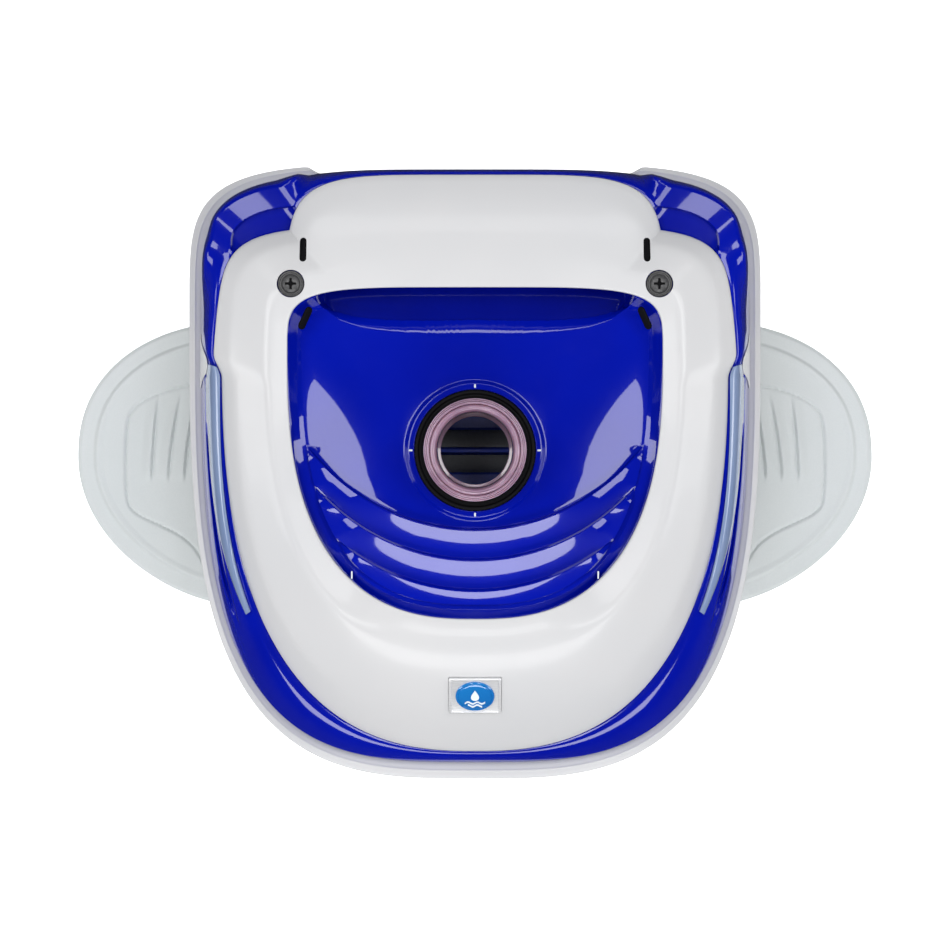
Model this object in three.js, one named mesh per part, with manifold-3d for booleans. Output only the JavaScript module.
// A suction-side walking pool cleaner, in millimetres, +Z up, standing on its four shoes.
// +X is the right side, +Y is the rear with the carry bar, and -Y is the nose.
// The origin is on the floor, under the middle of the cleaner.
import * as THREE from "three";
import { mergeVertices, mergeGeometries } from "three/addons/utils/BufferGeometryUtils.js";
import Module from "manifold-3d";

const wasm = await Module();
wasm.setup();

// ---- Driving dimensions -------------------------------------------------------------------

// Plan outline of the lower body's rim: two superellipse halves that meet at MID_Y.
const HALF_WIDTH = 192.5;
const REAR_Y = 207;
const NOSE_Y = -207;
const MID_Y = 100;
const REAR_POWER = 4.8;
const NOSE_POWER = 3.2;

// How far the blue upper body stands in from the rim.
const RIM_SIDE = 9.5;
const RIM_REAR = 6.5;
const RIM_NOSE = 13;

// How far the white cover stands in from the rim.
const COVER_SIDE = 23.5;
const COVER_REAR = 57;
const COVER_NOSE = 21;

// The plate of the carry bar, at the rear of the cover.
const BAR_HALF_WIDTH = 118;
const BAR_REAR = 15;
const BAR_POWER = 8;

// The opening of the cover, over the dish.
const OPENING_HALF_WIDTH = 119.5;
const OPENING_REAR_Y = 117;
const OPENING_FRONT_Y = -94.5;
const OPENING_MID_Y = 72;

// Heights above the floor.
const FLOOR_BOTTOM = 38;
const RIM_TOP = 84;
const LEDGE_Z = 79.5;
const LIP_TOP = 93;
const EDGE_Z = 150;
const EDGE_SLOPE = 0.17;
const LIP_Z = 182;
const LIP_SLOPE = 0.06;
const SAG = 0.0004;
const DISH_FLOOR_Z = 158;
const SOCKET_TOP_Z = 200;

// Walls and clearances.
const WALL = 3;
const GAP = 0.5;
const SEAT_GAP = 0.3;
const SECTORS = 40;

// The hose socket, for a cuff of 1.5 inch hose.
const SOCKET_Y = 13.5;
const SOCKET_BORE_R = 24.3;
const SLEEVE_WALL = 4.4;
const SOCKET_WALL = 3.6;
const SOCKET_DEPTH = 46;
const SEAL_WIDTH = 5.8;
const BOSS_WIDTH = 4.2;

// The dish: three terraces that end on arcs of one radius.
const TERRACE_R = 134.5;
const TERRACE_Y = 96.7;
const TERRACE_STEP = 19.5;
const TERRACE_RISE = 4;
const DISH_WALL_RUN = 7.5;

// The hand recess under the carry bar.
const HAND_HALF_WIDTH = 92;
const HAND_FRONT_Y = 89;
const HAND_REAR_Y = 150;
const HAND_FLOOR_Z = 142;

// Gear train. Modules in millimetres.
const TURBINE_Z = 92;
const TURBINE_TIP_R = 33;
const CHAMBER_R = 36;
const CHAMBER_HALF = 42;
const CHAMBER_SIDE = 6;
const CHAMBER_TOP = 132;
const SHAFT_R = 4;
const AXLE_R = 3;
const SHAFT_GAP = 0.3;
const FINE_MODULE = 1.5;
const COARSE_MODULE = 2;
const SPINDLE_TEETH = 12;
const MEDIUM_TEETH = 36;
const PINION_TEETH = 12;
const DRIVE_TEETH = 30;
const SWIVEL_TEETH = 52;
const STEERING_TEETH = 20;
const FINE_X = 46;
const GEAR_WIDTH = 7.5;
const COARSE_X = 55.5;
const DRIVE_LIFT = Math.PI / 6;
const CRANK = 7;
const CRANK_PIN_R = 3;

// Rockers, pods and shoes.
const ROCKER_X = 68;
const ROCKER_THICKNESS = 6;
const PIVOT_Z = 66;
const PIVOT_R = 4;
const POD_INNER_X = 50;
const POD_WIDTH = 42;
const POD_HALF_LENGTH = 78;
const POD_TOP = 36;
const POD_SLOPE = 0.16;
const SHOE_HEIGHT = 12;
const SHOE_START = 10;

// Wings and flaps.
const WING_SPAN = 273.5;
const WING_THICKNESS = 4;
const WING_HINGE_IN = 26;
const WING_REAR_Y = 104;
const WING_FRONT_Y = -92;
const WING_TIP_Y = 10;
const HINGE_Z = 32;
const HINGE_PIN_R = 2;
const KNUCKLE_R = 4.5;
const LUG_WIDTH = 7;
const LUG_HALF = 5;
const FLAP_BOTTOM_Z = 6;
const FLAP_THICKNESS = 3;
const FRONT_FLAP_IN = 57;
const REAR_FLAP_IN = 42;
const FRONT_FLAP_HALF = 92;
const REAR_FLAP_HALF = 104;

// Fasteners and badge.
const COVER_SCREW_X = 117.4;
const COVER_SCREW_Y = 119.5;
const COVER_SCREW_HEAD_R = 8.4;
const BODY_SCREW_R = 2.5;
const BODY_SCREW_HEAD_R = 5;
const BODY_POST_R = 6;
const BADGE_Y = -145.3;
const BADGE_WIDTH = 34;
const BADGE_LENGTH = 31;
const BADGE_DEPTH = 1.4;

// ---- Finishes -----------------------------------------------------------------------------

const WHITE_GLOSS = { color: 0xe9ecef, roughness: 0.18, metalness: 0 };
const BLUE_GLOSS = { color: 0x0a149c, roughness: 0.12, metalness: 0 };
const PALE_SOFT = { color: 0xdde3e3, roughness: 0.6, metalness: 0 };
const BLACK_RUBBER = { color: 0x111114, roughness: 0.7, metalness: 0 };
const SMOKE_ROSE = { color: 0xb89aad, roughness: 0.25, metalness: 0 };
const GREY_NYLON = { color: 0x8a8f96, roughness: 0.5, metalness: 0 };
const NATURAL_NYLON = { color: 0xe4dfcf, roughness: 0.5, metalness: 0 };
const BRIGHT_STEEL = { color: 0xc4c7ca, roughness: 0.3, metalness: 1 };
const BLACK_STEEL = { color: 0x1b1b1e, roughness: 0.4, metalness: 0.8 };
const BEARING_BRONZE = { color: 0xb98a4a, roughness: 0.4, metalness: 1 };
const DARK_FOAM = { color: 0x3b3f45, roughness: 0.95, metalness: 0 };
const SILVER_TRIM = { color: 0xc9ced4, roughness: 0.2, metalness: 1 };
const LENS_BLUE = { color: 0x1d6fb4, roughness: 0.1, metalness: 0 };

// ---- Solids: three.js geometry in, manifold-3d joins and cuts, geometry out -----------------

function solid(geometry) {
  const bare = geometry.clone();
  bare.deleteAttribute("normal");
  bare.deleteAttribute("uv");
  const merged = mergeVertices(bare, 1e-4);
  return new wasm.Manifold(
    new wasm.Mesh({
      numProp: 3,
      vertProperties: merged.attributes.position.array,
      triVerts: new Uint32Array(merged.index.array),
    }),
  );
}

function geometryOf(body) {
  const mesh = body.getMesh();
  const geometry = new THREE.BufferGeometry();
  geometry.setAttribute("position", new THREE.BufferAttribute(mesh.vertProperties, 3));
  geometry.setIndex(new THREE.BufferAttribute(mesh.triVerts, 1));
  geometry.computeVertexNormals();
  return geometry;
}

function join(first, ...others) {
  return others.reduce((whole, part) => whole.add(part), first);
}

function cut(first, ...others) {
  return others.reduce((whole, part) => whole.subtract(part), first);
}

// A box between two corners.
function block(x0, x1, y0, y1, z0, z1) {
  const geometry = new THREE.BoxGeometry(x1 - x0, y1 - y0, z1 - z0);
  geometry.translate((x0 + x1) / 2, (y0 + y1) / 2, (z0 + z1) / 2);
  return solid(geometry);
}

// Local x, y and z of a drawing become the named axes, so that a drawing's depth runs along one.
const ALONG = {
  x: new THREE.Matrix4().makeBasis(
    new THREE.Vector3(0, 1, 0),
    new THREE.Vector3(0, 0, 1),
    new THREE.Vector3(1, 0, 0),
  ),
  y: new THREE.Matrix4().makeBasis(
    new THREE.Vector3(0, 0, 1),
    new THREE.Vector3(1, 0, 0),
    new THREE.Vector3(0, 1, 0),
  ),
  z: new THREE.Matrix4(),
};

// A turned part: profile points [radius, height] round an axis through centre.
function turned(profile, axis, centre, steps = 24) {
  const points = profile.map(([radius, height]) => new THREE.Vector2(radius, height));
  const geometry = new THREE.LatheGeometry(points, steps);
  geometry.applyMatrix4(new THREE.Matrix4().makeRotationX(Math.PI / 2));
  geometry.applyMatrix4(ALONG[axis]);
  geometry.translate(...centre);
  return solid(geometry);
}

// A round bar of one radius between two places on its axis.
function rod(radius, axis, centre, from, to, steps = 12) {
  return turned([[0, from], [radius, from], [radius, to], [0, to]], axis, centre, steps);
}

// A tube between two places on its axis.
function tube(inner, outer, axis, centre, from, to, steps = 24) {
  const profile = [[inner, from], [outer, from], [outer, to], [inner, to], [inner, from]];
  return turned(profile, axis, centre, steps);
}

// A drawing of points, pushed along an axis from one place to another.
function plate(points, axis, centre, from, to, holes = []) {
  const shape = new THREE.Shape(points.map(([u, v]) => new THREE.Vector2(u, v)));
  for (const hole of holes) {
    shape.holes.push(new THREE.Path(hole.map(([u, v]) => new THREE.Vector2(u, v))));
  }
  const geometry = new THREE.ExtrudeGeometry(shape, { depth: to - from, bevelEnabled: false });
  geometry.translate(0, 0, from);
  geometry.applyMatrix4(ALONG[axis]);
  geometry.translate(...centre);
  return solid(geometry);
}

function circlePoints(radius, u, v, steps = 16) {
  return Array.from({ length: steps }, (_, i) => {
    const angle = (2 * Math.PI * i) / steps;
    return [u + radius * Math.cos(angle), v + radius * Math.sin(angle)];
  });
}

// ---- Outlines, as the reach from the socket's axis in a direction ---------------------------

const RIM = {
  halfWidth: HALF_WIDTH,
  midY: MID_Y,
  rearY: REAR_Y,
  frontY: NOSE_Y,
  rearPower: REAR_POWER,
  frontPower: NOSE_POWER,
};
const SHOULDER = {
  halfWidth: HALF_WIDTH - RIM_SIDE,
  midY: MID_Y,
  rearY: REAR_Y - RIM_REAR,
  frontY: NOSE_Y + RIM_NOSE,
  rearPower: 4.6,
  frontPower: 3.35,
};
const COVER = {
  halfWidth: HALF_WIDTH - COVER_SIDE,
  midY: 80,
  rearY: REAR_Y - COVER_REAR,
  frontY: NOSE_Y + COVER_NOSE,
  rearPower: 9,
  frontPower: 2.7,
};
const BAR = {
  halfWidth: BAR_HALF_WIDTH,
  midY: 90,
  rearY: REAR_Y - BAR_REAR,
  frontY: SOCKET_Y,
  rearPower: BAR_POWER,
  frontPower: 2,
};
const OPENING = {
  halfWidth: OPENING_HALF_WIDTH,
  midY: OPENING_MID_Y,
  rearY: OPENING_REAR_Y,
  frontY: OPENING_FRONT_Y,
  rearPower: 5,
  frontPower: 2.6,
};

function isInside(outline, x, y) {
  const rear = y > outline.midY;
  const length = rear ? outline.rearY - outline.midY : outline.midY - outline.frontY;
  const power = rear ? outline.rearPower : outline.frontPower;
  const across = Math.abs(x) / outline.halfWidth;
  const along = Math.abs(y - outline.midY) / length;
  return across ** power + along ** power < 1;
}

function reach(outline, angle) {
  let near = 0;
  let far = 2 * (HALF_WIDTH + REAR_Y);
  for (let i = 0; i < 40; i += 1) {
    const middle = (near + far) / 2;
    const x = middle * Math.cos(angle);
    const y = SOCKET_Y + middle * Math.sin(angle);
    if (isInside(outline, x, y)) near = middle;
    else far = middle;
  }
  return near;
}

function coverReach(angle) {
  const bar = Math.sin(angle) > 0 ? reach(BAR, angle) : 0;
  return Math.max(reach(COVER, angle), bar);
}

// The distance to the arc that ends a terrace.
function terraceReach(angle, index) {
  const toCentre = TERRACE_Y - index * TERRACE_STEP - SOCKET_Y;
  const lift = toCentre * Math.sin(angle);
  return lift + Math.sqrt(lift * lift + TERRACE_R * TERRACE_R - toCentre * toCentre);
}

// Height of the cover's outer edge, and of its inner lip, at a place along the cleaner.
function edgeHeight(y) {
  return EDGE_Z + EDGE_SLOPE * y - SAG * y * y;
}

function lipHeight(y) {
  return LIP_Z + LIP_SLOPE * y - SAG * y * y;
}

// Top of the cover on a ray from the socket's axis, at a distance along it.
function coverTop(angle, radius) {
  const outer = coverReach(angle);
  const inner = reach(OPENING, angle);
  const edge = edgeHeight(SOCKET_Y + outer * Math.sin(angle));
  const lip = lipHeight(SOCKET_Y + inner * Math.sin(angle));
  const share = (outer - radius) / (outer - inner);
  return edge + (lip - edge) * (1 - (1 - share) ** 2);
}

function coverTopAt(x, y) {
  return coverTop(Math.atan2(y - SOCKET_Y, x), Math.hypot(x, y - SOCKET_Y));
}

function spacing(positions, a, b) {
  const from = positions.slice(3 * a, 3 * a + 3);
  const to = positions.slice(3 * b, 3 * b + 3);
  return Math.hypot(to[0] - from[0], to[1] - from[1], to[2] - from[2]);
}

// A shell that runs all the way round the socket's axis: section(angle) is a closed list of
// [reach, height], the same length in every direction, anticlockwise with the axis on the left.
function ringShell(section) {
  const positions = [];
  const index = [];
  let count = 0;
  for (let i = 0; i < SECTORS; i += 1) {
    const angle = (2 * Math.PI * (i + 0.5)) / SECTORS;
    const points = section(angle);
    count = points.length;
    for (const [radius, height] of points) {
      positions.push(radius * Math.cos(angle), SOCKET_Y + radius * Math.sin(angle), height);
    }
  }
  for (let i = 0; i < SECTORS; i += 1) {
    const next = (i + 1) % SECTORS;
    for (let k = 0; k < count; k += 1) {
      const up = (k + 1) % count;
      const a = i * count + k;
      const b = i * count + up;
      const c = next * count + up;
      const d = next * count + k;
      // The shorter diagonal, so that two shells that follow each other bend the same way.
      if (spacing(positions, a, c) < spacing(positions, b, d)) index.push(a, c, b, a, d, c);
      else index.push(a, d, b, b, d, c);
    }
  }
  const geometry = new THREE.BufferGeometry();
  geometry.setAttribute("position", new THREE.Float32BufferAttribute(positions, 3));
  geometry.setIndex(index);
  return solid(geometry);
}

// ---- Shells -------------------------------------------------------------------------------

// Places across the cover, from its outer edge to its inner lip.
function coverRadii(angle) {
  const outer = coverReach(angle);
  const inner = reach(OPENING, angle);
  return [0, 0.2, 0.4, 0.7, 1].map((share) => outer + (inner - outer) * share);
}

function coverShell() {
  return ringShell((angle) => {
    const radii = coverRadii(angle);
    const top = radii.map((radius) => [radius, coverTop(angle, radius)]);
    const under = radii.map((radius) => [radius, coverTop(angle, radius) - WALL]);
    return [...top, ...under.reverse()];
  });
}

const COVER_SCREW_SEAT = coverTopAt(COVER_SCREW_X, COVER_SCREW_Y) - 5;
const COVER_BOSS_BOTTOM = COVER_SCREW_SEAT - 5;

function coverScrewPlace(side) {
  return [side * COVER_SCREW_X, COVER_SCREW_Y, 0];
}

// The badge lies on the slope of the nose.
const BADGE_TOP = coverTopAt(0, BADGE_Y);
const BADGE_TILT = Math.atan2(coverTopAt(0, BADGE_Y + 1) - coverTopAt(0, BADGE_Y - 1), 2);

function onBadge(body) {
  const tilt = new THREE.Matrix4().makeRotationX(BADGE_TILT);
  tilt.setPosition(0, BADGE_Y, BADGE_TOP);
  return body.transform(tilt.elements);
}

function badgeBlock(spread, from, to) {
  const x = BADGE_WIDTH / 2 + spread;
  const y = BADGE_LENGTH / 2 + spread;
  return block(-x, x, -y, y, from, to);
}

function topCover() {
  let cover = coverShell();
  cover = cut(cover, onBadge(badgeBlock(SEAT_GAP, -BADGE_DEPTH, 12)));
  for (const side of [-1, 1]) {
    const place = coverScrewPlace(side);
    const boss = rod(COVER_SCREW_HEAD_R + 2.6, "z", place, COVER_BOSS_BOTTOM, COVER_SCREW_SEAT + 4);
    const head = rod(COVER_SCREW_HEAD_R + SEAT_GAP, "z", place, COVER_SCREW_SEAT, 250);
    const shank = rod(AXLE_R + SEAT_GAP, "z", place, 0, 250);
    cover = cut(join(cover, boss), head, shank);
    const slotX = side * 109.8;
    cover = cut(cover, block(slotX - 2.2, slotX + 2.2, 134, 149, 150, 250));
  }
  return cover;
}

const SWIVEL_R = SOCKET_BORE_R + SLEEVE_WALL + SEAT_GAP + SOCKET_WALL;
const SEAL_INNER_R = SWIVEL_R + GAP;
const SEAL_OUTER_R = SEAL_INNER_R + SEAL_WIDTH;
const BODY_HOLE_R = SEAL_OUTER_R + SEAT_GAP;
const BOSS_R = BODY_HOLE_R + BOSS_WIDTH;

function upperShell() {
  return ringShell((angle) => {
    const rim = reach(SHOULDER, angle);
    const edge = coverReach(angle) + GAP;
    const opening = reach(OPENING, angle);
    const foot = opening - DISH_WALL_RUN;
    const [, near, middle, far] = coverRadii(angle);
    const under = (radius) => [radius, coverTop(angle, radius) - WALL - GAP];
    const below = (radius) => [radius, coverTop(angle, radius) - 2 * WALL - GAP];
    const bulge = (share) => {
      const rise = 1 - (1 - share) ** 2;
      return [rim + (edge - rim) * share, LIP_TOP + (coverTop(angle, edge) - 1 - LIP_TOP) * rise];
    };
    const step = (index) => Math.min(terraceReach(angle, index), foot);
    const top = [
      [rim, LEDGE_Z + GAP],
      bulge(0),
      bulge(0.35),
      bulge(0.7),
      bulge(1),
      under(edge),
      under(near),
      under(middle),
      under(far),
      under(opening + 1),
      [foot, DISH_FLOOR_Z + 3 * TERRACE_RISE],
      [step(2), DISH_FLOOR_Z + 3 * TERRACE_RISE - 0.01],
      [step(2), DISH_FLOOR_Z + 2 * TERRACE_RISE],
      [step(1), DISH_FLOOR_Z + 2 * TERRACE_RISE - 0.01],
      [step(1), DISH_FLOOR_Z + TERRACE_RISE],
      [step(0), DISH_FLOOR_Z + TERRACE_RISE - 0.01],
      [step(0), DISH_FLOOR_Z],
      [BOSS_R, DISH_FLOOR_Z],
      [BOSS_R, DISH_FLOOR_Z + WALL],
      [BODY_HOLE_R, DISH_FLOOR_Z + WALL],
    ];
    const back = WALL + 0.5;
    const inside = [
      [BODY_HOLE_R, DISH_FLOOR_Z - 8],
      [BOSS_R, DISH_FLOOR_Z - 8],
      [BOSS_R, DISH_FLOOR_Z - WALL],
      [step(0) + back, DISH_FLOOR_Z - WALL],
      [step(2) + back, DISH_FLOOR_Z + 2 * TERRACE_RISE - WALL],
      [foot + back, DISH_FLOOR_Z + 3 * TERRACE_RISE - WALL],
      below(opening + 1 + WALL),
      below(middle),
      below(edge - WALL),
      [bulge(0.35)[0] - WALL, bulge(0.35)[1] - WALL],
      [rim - WALL, LIP_TOP - 1],
      [rim - WALL, LEDGE_Z + GAP],
    ];
    return [...top, ...inside];
  });
}

const BODY_SCREW_PLACES = [
  ["rear_left", -135, 130],
  ["rear_right", 135, 130],
  ["front_left", -104, -104],
  ["front_right", 104, -104],
];

function upperBody() {
  let shell = upperShell();
  const half = HAND_HALF_WIDTH;
  const tray = block(
    -half - WALL, half + WALL, HAND_FRONT_Y - WALL, HAND_REAR_Y + WALL, HAND_FLOOR_Z - WALL, 166,
  );
  const hand = block(-half, half, HAND_FRONT_Y, HAND_REAR_Y, HAND_FLOOR_Z, 250);
  shell = cut(join(shell, tray), hand);
  for (const side of [-1, 1]) {
    const place = coverScrewPlace(side);
    const seat = COVER_BOSS_BOTTOM - GAP;
    const post = rod(COVER_SCREW_HEAD_R + 5.6, "z", place, seat - 19, seat + 1);
    const room = rod(COVER_SCREW_HEAD_R + 3.1, "z", place, seat, 250);
    const bore = rod(AXLE_R + SEAT_GAP, "z", place, seat - 16, 250);
    shell = cut(join(shell, post), room, bore);
  }
  for (const [, x, y] of BODY_SCREW_PLACES) {
    // The post stops under the lowest side of the cover over it.
    const over = circlePoints(BODY_POST_R, x, y).map(([u, v]) => coverTopAt(u, v));
    const ceiling = Math.min(...over) - 1.8 * WALL;
    const post = rod(BODY_POST_R, "z", [x, y, 0], LEDGE_Z + GAP, ceiling);
    shell = cut(join(shell, post), rod(BODY_SCREW_R + SEAT_GAP, "z", [x, y, 0], 0, 94));
  }
  return shell;
}

function lowerShell() {
  return ringShell((angle) => {
    const rim = reach(RIM, angle);
    const seat = reach(SHOULDER, angle) + GAP;
    return [
      [rim - 17, FLOOR_BOTTOM],
      [20, FLOOR_BOTTOM],
      [20, FLOOR_BOTTOM + WALL],
      [rim - 20, FLOOR_BOTTOM + WALL],
      [rim - 11, 54],
      [seat - 8, LEDGE_Z - 6],
      [seat - 6, LEDGE_Z],
      [seat, LEDGE_Z],
      [seat, RIM_TOP],
      [(rim + seat) / 2, RIM_TOP + 1.5],
      [rim - 0.8, RIM_TOP],
      [rim, RIM_TOP - 8],
      [rim - 7, 54],
    ].reverse();
  });
}

const WING_HINGE_X = HALF_WIDTH - WING_HINGE_IN;
const WING_KNUCKLE = [-61.5, 81.5];
const FRONT_FLAP_Y = NOSE_Y + FRONT_FLAP_IN;
const REAR_FLAP_Y = REAR_Y - REAR_FLAP_IN;
const THROAT_X = 36;
const THROAT_Y = 32;
const POCKET_X = ROCKER_X + ROCKER_THICKNESS / 2;

function lowerBody() {
  let body = lowerShell();
  const top = FLOOR_BOTTOM + WALL;
  for (const side of [-1, 1]) {
    const mirror = (x0, x1) => (side > 0 ? [x0, x1] : [-x1, -x0]);
    const inner = mirror(ROCKER_X - 6.5, ROCKER_X - 1.3);
    const outer = mirror(ROCKER_X + ROCKER_THICKNESS + 1.3, ROCKER_X + ROCKER_THICKNESS + 6.5);
    for (const [x0, x1] of [inner, outer]) {
      body = join(body, block(x0, x1, SOCKET_Y - 8, SOCKET_Y + 8, top - 1, PIVOT_Z + 8));
    }
    const bore = mirror(ROCKER_X - 20, ROCKER_X + 30);
    body = cut(body, rod(PIVOT_R + SHAFT_GAP, "x", [0, SOCKET_Y, PIVOT_Z], ...bore));
    const slot = mirror(ROCKER_X - 1.3, ROCKER_X + ROCKER_THICKNESS + 1.3);
    body = cut(body, block(...slot, SOCKET_Y - 46, SOCKET_Y + 46, 30, 50));
    // Wing hinge lugs, below the floor.
    const lug = mirror(WING_HINGE_X - LUG_HALF, WING_HINGE_X + LUG_HALF);
    for (const y of [WING_KNUCKLE[0] - GAP - LUG_WIDTH, WING_KNUCKLE[1] + GAP]) {
      body = join(body, block(...lug, y, y + LUG_WIDTH, HINGE_Z - LUG_HALF, FLOOR_BOTTOM + 1));
    }
    const pin = [WING_KNUCKLE[0] - 20, WING_KNUCKLE[1] + 20];
    const place = [side * WING_HINGE_X, 0, HINGE_Z];
    body = cut(body, rod(HINGE_PIN_R + SHAFT_GAP, "y", place, ...pin));
  }
  // Flap hinge lugs.
  for (const [y, half] of [[FRONT_FLAP_Y, FRONT_FLAP_HALF], [REAR_FLAP_Y, REAR_FLAP_HALF]]) {
    for (const x of [-half - GAP - LUG_WIDTH, half + GAP]) {
      const lug = block(
        x, x + LUG_WIDTH, y - LUG_HALF, y + LUG_HALF, HINGE_Z - LUG_HALF, FLOOR_BOTTOM + 1,
      );
      body = join(body, lug);
    }
    body = cut(body, rod(HINGE_PIN_R + SHAFT_GAP, "x", [0, y, HINGE_Z], -half - 20, half + 20));
  }
  for (const [, x, y] of BODY_SCREW_PLACES) {
    body = join(body, rod(BODY_POST_R, "z", [x, y, 0], top - 1, LEDGE_Z));
    body = cut(body, rod(BODY_SCREW_R + SEAT_GAP, "z", [x, y, 0], 0, 100));
  }
  // The lower bearing of the steering shaft.
  const shaft = [0, STEERING_Y, 0];
  body = join(body, rod(8, "z", shaft, top - 1, top + 9));
  body = cut(body, rod(AXLE_R + 0.5 + SHAFT_GAP, "z", shaft, top + 1, 100));
  const x = THROAT_X + WALL + SEAT_GAP;
  const y = THROAT_Y + WALL + SEAT_GAP;
  return cut(body, block(-x, x, SOCKET_Y - y, SOCKET_Y + y, 30, 50));
}

// ---- Gears --------------------------------------------------------------------------------

// Teeth as a closed outline, with the middle of one tooth in the direction given.
function gearOutline(teeth, module, u, v, toothAt) {
  const pitchR = (teeth * module) / 2;
  const tip = pitchR + 0.85 * module;
  const root = pitchR - 1.15 * module;
  const pitch = (2 * Math.PI) / teeth;
  const points = [];
  for (let i = 0; i < teeth; i += 1) {
    const middle = toothAt + i * pitch;
    const corners = [[-0.29, root], [-0.12, tip], [0.12, tip], [0.29, root]];
    for (const [share, radius] of corners) {
      const angle = middle + share * pitch;
      points.push([u + radius * Math.cos(angle), v + radius * Math.sin(angle)]);
    }
  }
  return points;
}

function gear(teeth, module, axis, u, v, from, to, toothAt, boreR) {
  const holes = boreR ? [circlePoints(boreR, u, v)] : [];
  return plate(gearOutline(teeth, module, u, v, toothAt), axis, [0, 0, 0], from, to, holes);
}

function pitchRadius(teeth, module) {
  return (teeth * module) / 2;
}

const SPINDLE_R = pitchRadius(SPINDLE_TEETH, FINE_MODULE);
const MEDIUM_R = pitchRadius(MEDIUM_TEETH, FINE_MODULE);
const PINION_R = pitchRadius(PINION_TEETH, COARSE_MODULE);
const DRIVE_R = pitchRadius(DRIVE_TEETH, COARSE_MODULE);
const SWIVEL_GEAR_R = pitchRadius(SWIVEL_TEETH, FINE_MODULE);
const STEERING_R = pitchRadius(STEERING_TEETH, FINE_MODULE);
const MEDIUM_Y = SOCKET_Y + SPINDLE_R + MEDIUM_R;
const DRIVE_Y = MEDIUM_Y - (PINION_R + DRIVE_R) * Math.cos(DRIVE_LIFT);
const DRIVE_Z = TURBINE_Z + (PINION_R + DRIVE_R) * Math.sin(DRIVE_LIFT);
const STEERING_Y = SOCKET_Y - SWIVEL_GEAR_R - STEERING_R;

// From the +X side: places on an axis are mirrored for the left.
function span(side, from, to) {
  return side > 0 ? [from, to] : [-to, -from];
}

function spindleGear(side) {
  const place = span(side, FINE_X, FINE_X + GEAR_WIDTH);
  const bore = SHAFT_R + SHAFT_GAP;
  return gear(SPINDLE_TEETH, FINE_MODULE, "x", SOCKET_Y, TURBINE_Z, ...place, 0, bore);
}

function mediumGear(side) {
  const half = Math.PI / MEDIUM_TEETH;
  const wheel = gear(
    MEDIUM_TEETH, FINE_MODULE, "x", MEDIUM_Y, TURBINE_Z,
    ...span(side, FINE_X, FINE_X + GEAR_WIDTH), Math.PI + half, 0,
  );
  const pinion = gear(
    PINION_TEETH, COARSE_MODULE, "x", MEDIUM_Y, TURBINE_Z,
    ...span(side, FINE_X + GEAR_WIDTH - 1, COARSE_X + GEAR_WIDTH), Math.PI - DRIVE_LIFT, 0,
  );
  const bore = rod(AXLE_R + SHAFT_GAP, "x", [0, MEDIUM_Y, TURBINE_Z], ...span(side, 30, 90));
  return cut(join(wheel, pinion), bore);
}

function driveGear(side) {
  const phase = -DRIVE_LIFT + Math.PI / DRIVE_TEETH;
  const wheel = gear(
    DRIVE_TEETH, COARSE_MODULE, "x", DRIVE_Y, DRIVE_Z,
    ...span(side, COARSE_X, COARSE_X + GEAR_WIDTH), phase, AXLE_R + SHAFT_GAP,
  );
  // The crank pin stands up on the right and down on the left, half a turn apart.
  const pinZ = DRIVE_Z + side * CRANK;
  const pin = rod(
    CRANK_PIN_R, "x", [0, DRIVE_Y, pinZ], ...span(side, COARSE_X + GEAR_WIDTH - 1, ROCKER_X - GAP), 16,
  );
  const hub = rod(AXLE_R + SHAFT_GAP, "x", [0, DRIVE_Y, DRIVE_Z], ...span(side, 30, 90));
  return cut(join(wheel, pin), hub);
}

function axle(side, y, z, to) {
  return rod(AXLE_R, "x", [0, y, z], ...span(side, CHAMBER_HALF - CHAMBER_SIDE + 1.2, to), 16);
}

// ---- Turbine ------------------------------------------------------------------------------

const VANES = 5;
const HUB_R = 16;
const HUB_HALF = 31;
const VANE_PIVOT_R = 14.4;
const VANE_BEAD_R = 2.6;
const VANE_HALF = 28;
const VANE_THICKNESS = 2.2;

function vaneAngle(index) {
  return Math.PI / 2 + (2 * Math.PI * index) / VANES;
}

function vanePivot(index) {
  const angle = vaneAngle(index);
  return [0, SOCKET_Y + VANE_PIVOT_R * Math.cos(angle), TURBINE_Z + VANE_PIVOT_R * Math.sin(angle)];
}

function turbineHub() {
  const axisPlace = [0, SOCKET_Y, TURBINE_Z];
  const end = FINE_X + GEAR_WIDTH + 0.8;
  let hub = turned(
    [
      [0, -end], [SHAFT_R, -end], [SHAFT_R, -HUB_HALF], [HUB_R, -HUB_HALF],
      [HUB_R, HUB_HALF], [SHAFT_R, HUB_HALF], [SHAFT_R, end], [0, end],
    ],
    "x", axisPlace, 24,
  );
  for (let i = 0; i < VANES; i += 1) {
    hub = cut(hub, rod(VANE_BEAD_R + SEAT_GAP, "x", vanePivot(i), -50, 50, 16));
  }
  return hub;
}

function turbineVane(index) {
  const half = VANE_THICKNESS / 2;
  const blade = block(-VANE_HALF, VANE_HALF, 0, TURBINE_TIP_R - VANE_PIVOT_R, -half, half);
  const turn = new THREE.Matrix4().makeRotationX(vaneAngle(index));
  turn.setPosition(...vanePivot(index));
  const bead = rod(VANE_BEAD_R, "x", vanePivot(index), -VANE_HALF, VANE_HALF, 16);
  return join(blade.transform(turn.elements), bead);
}

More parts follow.
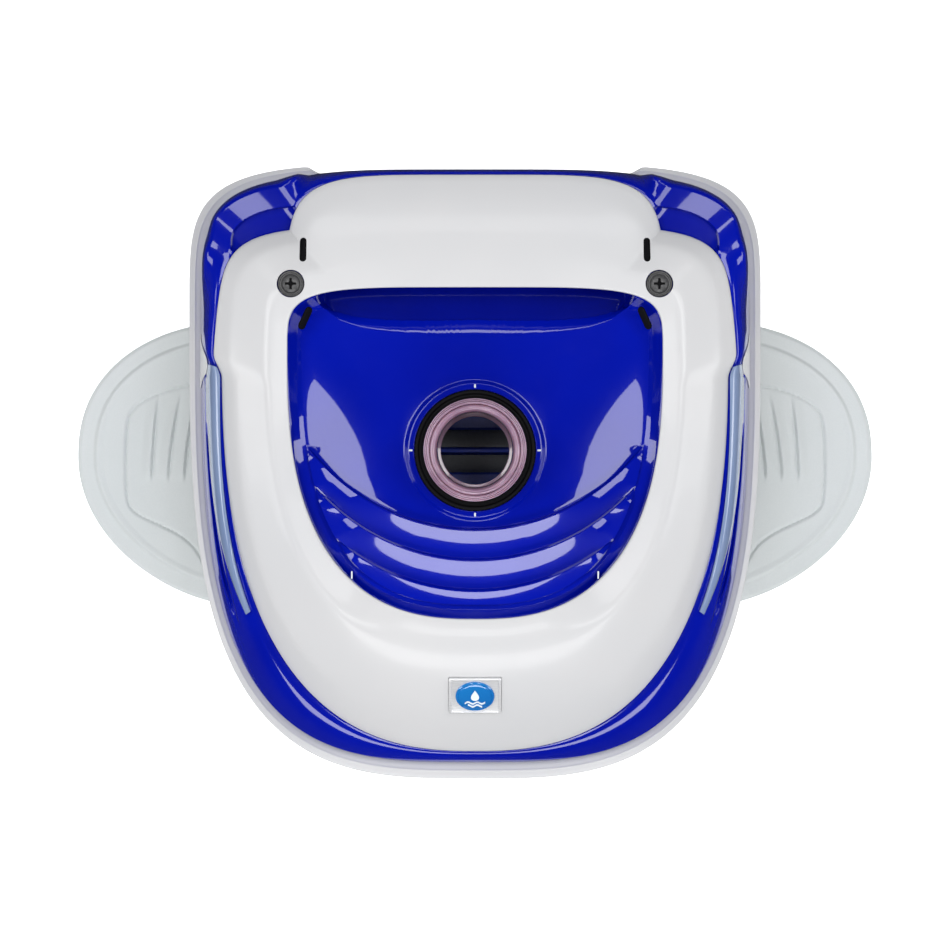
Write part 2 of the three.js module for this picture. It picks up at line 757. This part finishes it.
function chamberHalf(upper) {
  const bottom = FLOOR_BOTTOM + WALL + GAP;
  const split = SEAT_GAP / 2;
  const [z0, z1] = upper ? [TURBINE_Z + split, CHAMBER_TOP] : [bottom, TURBINE_Z - split];
  const centre = [0, SOCKET_Y, TURBINE_Z];
  const inner = CHAMBER_HALF - CHAMBER_SIDE;
  let body = block(
    -CHAMBER_HALF, CHAMBER_HALF, SOCKET_Y - CHAMBER_R - 6, MEDIUM_Y + 10, z0, z1,
  );
  body = cut(body, rod(CHAMBER_R, "x", centre, -inner, inner, 32));
  body = cut(body, rod(BEARING_R + SEAT_GAP, "x", centre, -60, 60, 24));
  body = cut(body, block(-inner, inner, SOCKET_Y + CHAMBER_R + 4, MEDIUM_Y + 20, z0 - 1, z1 + 1));
  for (const side of [-1, 1]) {
    const socket = span(side, inner + 1, 60);
    body = cut(body, rod(AXLE_R + SHAFT_GAP, "x", [0, MEDIUM_Y, TURBINE_Z], ...socket));
    if (upper) body = cut(body, rod(AXLE_R + SHAFT_GAP, "x", [0, DRIVE_Y, DRIVE_Z], ...socket));
  }
  if (!upper) return cut(body, block(-28, 28, SOCKET_Y - 24, SOCKET_Y + 24, 0, TURBINE_Z - 5));
  const bracket = block(-7, 7, STEERING_Y - 7, SOCKET_Y - CHAMBER_R, 110, 116);
  const shaft = rod(AXLE_R + 0.5 + SHAFT_GAP, "z", [0, STEERING_Y, 0], 100, 130);
  body = join(body, rod(COLLAR_R, "z", [0, SOCKET_Y, 0], CHAMBER_TOP - 2, COLLAR_TOP, 32));
  body = join(body, bracket);
  return cut(body, shaft, rod(COLLAR_R - WALL, "z", [0, SOCKET_Y, 0], TURBINE_Z, 200, 32));
}

const BEARING_R = 9;
const COLLAR_R = 27.5;
const COLLAR_TOP = 150;
const BUSHING_WALL = 3;
const SKIRT_INNER_R = COLLAR_R + 2 * SHAFT_GAP + BUSHING_WALL;
const SKIRT_BOTTOM = 133;

function bearing(side) {
  const centre = [0, SOCKET_Y, TURBINE_Z];
  return tube(SHAFT_R + SHAFT_GAP, BEARING_R, "x", centre, ...span(side, 36.3, 44), 24);
}

// ---- Swivel and steering --------------------------------------------------------------------

const SOCKET_FLOOR_Z = SOCKET_TOP_Z - SOCKET_DEPTH;

function swivelSocket() {
  const centre = [0, SOCKET_Y, 0];
  const sleeveR = SOCKET_BORE_R + SLEEVE_WALL + SEAT_GAP;
  const skirt = SWIVEL_GEAR_R - 1.15 * FINE_MODULE;
  const body = turned(
    [
      [SKIRT_INNER_R, SKIRT_BOTTOM], [skirt, SKIRT_BOTTOM], [skirt, 144], [SWIVEL_R, 149],
      [SWIVEL_R, SOCKET_TOP_Z - 1], [SWIVEL_R - 1, SOCKET_TOP_Z], [sleeveR, SOCKET_TOP_Z],
      [sleeveR, SOCKET_FLOOR_Z], [22, SOCKET_FLOOR_Z - 1], [22, COLLAR_TOP + 1],
      [SKIRT_INNER_R, COLLAR_TOP + 1], [SKIRT_INNER_R, SKIRT_BOTTOM],
    ],
    "z", centre, 24,
  );
  const ring = gear(
    SWIVEL_TEETH, FINE_MODULE, "z", 0, SOCKET_Y, SKIRT_BOTTOM, SKIRT_BOTTOM + 8, -Math.PI / 2,
    skirt - 1.5,
  );
  return join(body, ring);
}

function socketSleeve() {
  const outer = SOCKET_BORE_R + SLEEVE_WALL;
  const centre = [0, SOCKET_Y, 0];
  return tube(SOCKET_BORE_R, outer, "z", centre, SOCKET_FLOOR_Z + SEAT_GAP, SOCKET_TOP_Z + 1, 24);
}

function steeringShaft() {
  const turn = Math.PI / 2 + Math.PI / STEERING_TEETH;
  const pinion = gear(
    STEERING_TEETH, FINE_MODULE, "z", 0, STEERING_Y, SKIRT_BOTTOM, SKIRT_BOTTOM + 8, turn, 0,
  );
  const centre = [0, STEERING_Y, 0];
  const shaft = rod(AXLE_R + 0.5, "z", centre, FLOOR_BOTTOM + WALL + 1.5, SKIRT_BOTTOM + 10, 16);
  // The cam and its lug turn clear of the chamber's front wall.
  const cam = rod(8, "z", centre, 62, 70, 24);
  const lug = block(-3, 3, STEERING_Y - 10.8, STEERING_Y - 6, 62, 70);
  return join(shaft, pinion, cam, lug);
}

// ---- Rockers ------------------------------------------------------------------------------

function podOutline() {
  const end = POD_HALF_LENGTH;
  const drop = POD_TOP - POD_SLOPE * end;
  return [
    [-end, SHOE_HEIGHT + 4], [-end + 6, SHOE_HEIGHT + SEAT_GAP], [end - 6, SHOE_HEIGHT + SEAT_GAP],
    [end, SHOE_HEIGHT + 4], [end, drop], [0, POD_TOP], [-end, drop],
  ];
}

function aFrame(side) {
  const foot = POD_TOP - 8;
  const slotHalf = CRANK_PIN_R + SHAFT_GAP;
  const top = DRIVE_Z + CRANK + slotHalf + 5;
  const offset = DRIVE_Y - SOCKET_Y;
  const outline = [
    [-34, foot], [34, foot], [34, POD_TOP + 6], [12, PIVOT_Z + 4], [offset + 9, DRIVE_Z - 12],
    [offset + 9, top - 4], [offset + 4, top], [offset - 4, top], [offset - 9, top - 4],
    [offset - 9, DRIVE_Z - 12], [-12, PIVOT_Z + 4], [-34, POD_TOP + 6],
  ];
  const slot = [
    [offset - slotHalf, DRIVE_Z - CRANK - 4], [offset - slotHalf, DRIVE_Z + CRANK + 4],
    [offset + slotHalf, DRIVE_Z + CRANK + 4], [offset + slotHalf, DRIVE_Z - CRANK - 4],
  ];
  const eye = circlePoints(PIVOT_R + SHAFT_GAP, 0, PIVOT_Z);
  const window = [[-18, POD_TOP + 5], [-6, PIVOT_Z - 10], [6, PIVOT_Z - 10], [18, POD_TOP + 5]];
  const place = span(side, ROCKER_X, ROCKER_X + ROCKER_THICKNESS);
  return plate(outline, "x", [0, SOCKET_Y, 0], ...place, [slot, eye, window]);
}

function pod(side) {
  const place = span(side, POD_INNER_X, POD_INNER_X + POD_WIDTH);
  const body = plate(podOutline(), "x", [0, SOCKET_Y, 0], ...place);
  const slot = span(side, ROCKER_X - SEAT_GAP, ROCKER_X + ROCKER_THICKNESS + SEAT_GAP);
  const foot = POD_TOP - 8 - SEAT_GAP;
  return cut(body, block(...slot, SOCKET_Y - 34.3, SOCKET_Y + 34.3, foot, 60));
}

// A ribbed sole: end is 1 for the rear shoe and -1 for the front one.
function shoe(side, end) {
  const last = POD_HALF_LENGTH + 4;
  const points = [
    [SHOE_START, SHOE_HEIGHT], [SHOE_START, 1.5], [SHOE_START + 1.5, 0], [last - 22, 0],
    [last - 10, 2.5], [last - 3, 7], [last, 14], [last - 4 + SEAT_GAP, SHOE_HEIGHT + 4.2],
    [last - 10, SHOE_HEIGHT],
  ];
  const outline = end > 0 ? points : points.map(([u, v]) => [-u, v]).reverse();
  const place = span(side, POD_INNER_X, POD_INNER_X + POD_WIDTH);
  let sole = plate(outline, "x", [0, SOCKET_Y, 0], ...place);
  for (let u = SHOE_START + 8; u < last - 18; u += 9) {
    const y = SOCKET_Y + end * u;
    sole = cut(sole, block(-120, 120, y - 1.2, y + 1.2, -5, 3));
  }
  return sole;
}

function pivotPin(side) {
  const place = span(side, ROCKER_X - 8, ROCKER_X + ROCKER_THICKNESS + 8);
  return rod(PIVOT_R, "x", [0, SOCKET_Y, PIVOT_Z], ...place);
}

// ---- Wings, flaps and their pins --------------------------------------------------------------

function wingOutline(side) {
  const span_ = WING_SPAN - WING_HINGE_X;
  const curve = new THREE.CatmullRomCurve3(
    [
      [0, WING_FRONT_Y - 4], [20, WING_FRONT_Y], [span_ - 42, -61], [span_ - 12, -34],
      [span_, WING_TIP_Y], [span_ - 12, 55], [span_ - 38, 83], [24, WING_REAR_Y], [0, WING_REAR_Y + 5],
    ].map(([u, v]) => new THREE.Vector3(u, v, 0)),
    false, "catmullrom", 0.5,
  );
  const points = curve.getPoints(40).map((point) => [WING_HINGE_X + point.x, point.y]);
  return side > 0 ? points : points.map(([u, v]) => [-u, v]).reverse();
}

function wing(side) {
  const z = HINGE_Z - WING_THICKNESS / 2;
  const sheet = plate(wingOutline(side), "z", [0, 0, 0], z, z + WING_THICKNESS);
  const place = [side * WING_HINGE_X, 0, HINGE_Z];
  const knuckle = rod(KNUCKLE_R, "y", place, ...WING_KNUCKLE);
  const bore = rod(HINGE_PIN_R + SHAFT_GAP, "y", place, -150, 150);
  // Beside the lugs the sheet starts far enough out to lift past them.
  const inner = side * (WING_HINGE_X + LUG_HALF + 1.5);
  const [x0, x1] = side > 0 ? [inner - 20, inner] : [inner, inner + 20];
  const ends = [
    block(x0, x1, WING_KNUCKLE[1], 150, 20, 45),
    block(x0, x1, -150, WING_KNUCKLE[0], 20, 45),
  ];
  return cut(join(sheet, knuckle), bore, ...ends);
}

function wingPin(side) {
  const ends = [WING_KNUCKLE[0] - LUG_WIDTH - 2, WING_KNUCKLE[1] + LUG_WIDTH + 2];
  return rod(HINGE_PIN_R, "y", [side * WING_HINGE_X, 0, HINGE_Z], ...ends, 12);
}

function flap(y, half) {
  const knuckle = rod(KNUCKLE_R, "x", [0, y, HINGE_Z], -half, half);
  const thick = FLAP_THICKNESS / 2;
  const blade = block(-half, half, y - thick, y + thick, FLAP_BOTTOM_Z, HINGE_Z);
  const bore = rod(HINGE_PIN_R + SHAFT_GAP, "x", [0, y, HINGE_Z], -half - 5, half + 5);
  return cut(join(knuckle, blade), bore);
}

function flapPin(y, half) {
  const end = half + LUG_WIDTH + 2;
  return rod(HINGE_PIN_R, "x", [0, y, HINGE_Z], -end, end, 12);
}

// ---- Inlet, float, ballast, badge and screws ----------------------------------------------------

function throat() {
  const ring = (x, y, z0, z1) => block(-x, x, SOCKET_Y - y, SOCKET_Y + y, z0, z1);
  const outer = ring(THROAT_X + WALL, THROAT_Y + WALL, 12, FLOOR_BOTTOM + WALL);
  const flange = ring(THROAT_X + 8, THROAT_Y + 8, FLOOR_BOTTOM - 3.3, FLOOR_BOTTOM - SEAT_GAP);
  const lip = ring(THROAT_X + 7, THROAT_Y + 7, 12, 15);
  return cut(join(outer, flange, lip), ring(THROAT_X, THROAT_Y, 0, 60));
}

function roundedBlock(halfX, y0, y1, z0, z1, corner) {
  const shape = new THREE.Shape();
  shape.moveTo(-halfX + corner, y0);
  shape.lineTo(halfX - corner, y0);
  shape.absarc(halfX - corner, y0 + corner, corner, -Math.PI / 2, 0);
  shape.absarc(halfX - corner, y1 - corner, corner, 0, Math.PI / 2);
  shape.absarc(-halfX + corner, y1 - corner, corner, Math.PI / 2, Math.PI);
  shape.absarc(-halfX + corner, y0 + corner, corner, Math.PI, 1.5 * Math.PI);
  const geometry = new THREE.ExtrudeGeometry(shape, {
    depth: z1 - z0, bevelEnabled: false, curveSegments: 4,
  });
  geometry.translate(0, 0, z0);
  return solid(geometry);
}

function badgeBezel() {
  const frame = badgeBlock(0, -BADGE_DEPTH + SEAT_GAP, 1);
  const pocket = rod(1, "z", [0, 0, 0], -1, 5, 32);
  const oval = new THREE.Matrix4().makeScale(BADGE_WIDTH * 0.42, BADGE_LENGTH * 0.42, 1);
  return onBadge(cut(frame, pocket.transform(oval.elements)));
}

function badgeLens() {
  const dome = turned([[0, 0], [1, 0], [0.95, 0.8], [0.7, 1.6], [0, 2.2]], "z", [0, 0, -0.7], 32);
  const share = 0.42;
  const oval = new THREE.Matrix4().makeScale(
    BADGE_WIDTH * share - SEAT_GAP, BADGE_LENGTH * share - SEAT_GAP, 1,
  );
  return onBadge(dome.transform(oval.elements));
}

function coverScrew(side) {
  const z = COVER_SCREW_SEAT + SEAT_GAP;
  const head = turned(
    [
      [0, z - 21], [AXLE_R, z - 21], [AXLE_R, z], [COVER_SCREW_HEAD_R, z],
      [COVER_SCREW_HEAD_R, z + 2.6], [COVER_SCREW_HEAD_R - 2, z + 4.4], [0, z + 5],
    ],
    "z", coverScrewPlace(side), 20,
  );
  const x = side * COVER_SCREW_X;
  const y = COVER_SCREW_Y;
  const cross = join(
    block(x - 4.5, x + 4.5, y - 0.9, y + 0.9, z + 1.5, z + 9),
    block(x - 0.9, x + 0.9, y - 4.5, y + 4.5, z + 1.5, z + 9),
  );
  return cut(head, cross);
}

function bodyScrew(x, y) {
  const z = FLOOR_BOTTOM - SEAT_GAP;
  const profile = [
    [0, z - 3.5], [BODY_SCREW_HEAD_R - 1, z - 3.5], [BODY_SCREW_HEAD_R, z - 2.5],
    [BODY_SCREW_HEAD_R, z], [BODY_SCREW_R, z], [BODY_SCREW_R, 92], [0, 92],
  ];
  const cross = join(
    block(x - 2.5, x + 2.5, y - 0.6, y + 0.6, 0, z - 1.8),
    block(x - 0.6, x + 0.6, y - 2.5, y + 2.5, 0, z - 1.8),
  );
  return cut(turned(profile, "z", [x, y, 0], 12), cross);
}

// ---- The assembly -------------------------------------------------------------------------------

const cleaner = new THREE.Group();

function add(name, body, finish) {
  const mesh = new THREE.Mesh(geometryOf(body), new THREE.MeshStandardMaterial(finish));
  mesh.name = name;
  cleaner.add(mesh);
}

add("top_cover", topCover(), WHITE_GLOSS);
add("upper_body", upperBody(), BLUE_GLOSS);
add("lower_body", lowerBody(), WHITE_GLOSS);
add("badge_bezel", badgeBezel(), SILVER_TRIM);
add("badge_lens", badgeLens(), LENS_BLUE);
add("swivel_socket", swivelSocket(), GREY_NYLON);
add("socket_sleeve", socketSleeve(), SMOKE_ROSE);
const socketAxis = [0, SOCKET_Y, 0];
add(
  "socket_seal",
  tube(SEAL_INNER_R, SEAL_OUTER_R, "z", socketAxis, DISH_FLOOR_Z - 7, DISH_FLOOR_Z + WALL + 2, 24),
  BLACK_RUBBER,
);
add(
  "swivel_bushing",
  tube(
    COLLAR_R + SHAFT_GAP, COLLAR_R + SHAFT_GAP + BUSHING_WALL, "z", socketAxis,
    CHAMBER_TOP + SEAT_GAP, COLLAR_TOP, 24,
  ),
  NATURAL_NYLON,
);
add("steering_shaft", steeringShaft(), NATURAL_NYLON);
add("turbine_hub", turbineHub(), GREY_NYLON);
for (let i = 0; i < VANES; i += 1) {
  add(`turbine_vane_${i + 1}`, turbineVane(i), BLUE_GLOSS);
}
add("chamber_lower", chamberHalf(false), GREY_NYLON);
add("chamber_upper", chamberHalf(true), GREY_NYLON);
add("inlet_throat", throat(), BLUE_GLOSS);
for (const [name, side] of [["left", -1], ["right", 1]]) {
  add(`cover_screw_${name}`, coverScrew(side), BLACK_STEEL);
  add(`turbine_bearing_${name}`, bearing(side), BEARING_BRONZE);
  add(`spindle_gear_${name}`, spindleGear(side), NATURAL_NYLON);
  add(`medium_gear_${name}`, mediumGear(side), NATURAL_NYLON);
  add(`medium_axle_${name}`, axle(side, MEDIUM_Y, TURBINE_Z, COARSE_X + GEAR_WIDTH + 1), BRIGHT_STEEL);
  add(`drive_gear_${name}`, driveGear(side), NATURAL_NYLON);
  add(`drive_axle_${name}`, axle(side, DRIVE_Y, DRIVE_Z, COARSE_X + GEAR_WIDTH - 0.5), BRIGHT_STEEL);
  add(`a_frame_${name}`, aFrame(side), GREY_NYLON);
  add(`pod_${name}`, pod(side), WHITE_GLOSS);
  add(`shoe_front_${name}`, shoe(side, -1), BLACK_RUBBER);
  add(`shoe_rear_${name}`, shoe(side, 1), BLACK_RUBBER);
  add(`pivot_pin_${name}`, pivotPin(side), BRIGHT_STEEL);
  add(`wing_${name}`, wing(side), PALE_SOFT);
  add(`wing_pin_${name}`, wingPin(side), BRIGHT_STEEL);
}
add("front_flap", flap(FRONT_FLAP_Y, FRONT_FLAP_HALF), PALE_SOFT);
add("rear_flap", flap(REAR_FLAP_Y, REAR_FLAP_HALF), PALE_SOFT);
add("front_flap_pin", flapPin(FRONT_FLAP_Y, FRONT_FLAP_HALF), BRIGHT_STEEL);
add("rear_flap_pin", flapPin(REAR_FLAP_Y, REAR_FLAP_HALF), BRIGHT_STEEL);
add("foam_float", roundedBlock(80, 98, 160, 96, 132, 12), DARK_FOAM);
add("ballast_weight", roundedBlock(45, -130, -92, FLOOR_BOTTOM + WALL + SEAT_GAP, 62, 6), BLACK_STEEL);
for (const [name, x, y] of BODY_SCREW_PLACES) {
  add(`body_screw_${name}`, bodyScrew(x, y), BRIGHT_STEEL);
}

export default cleaner;
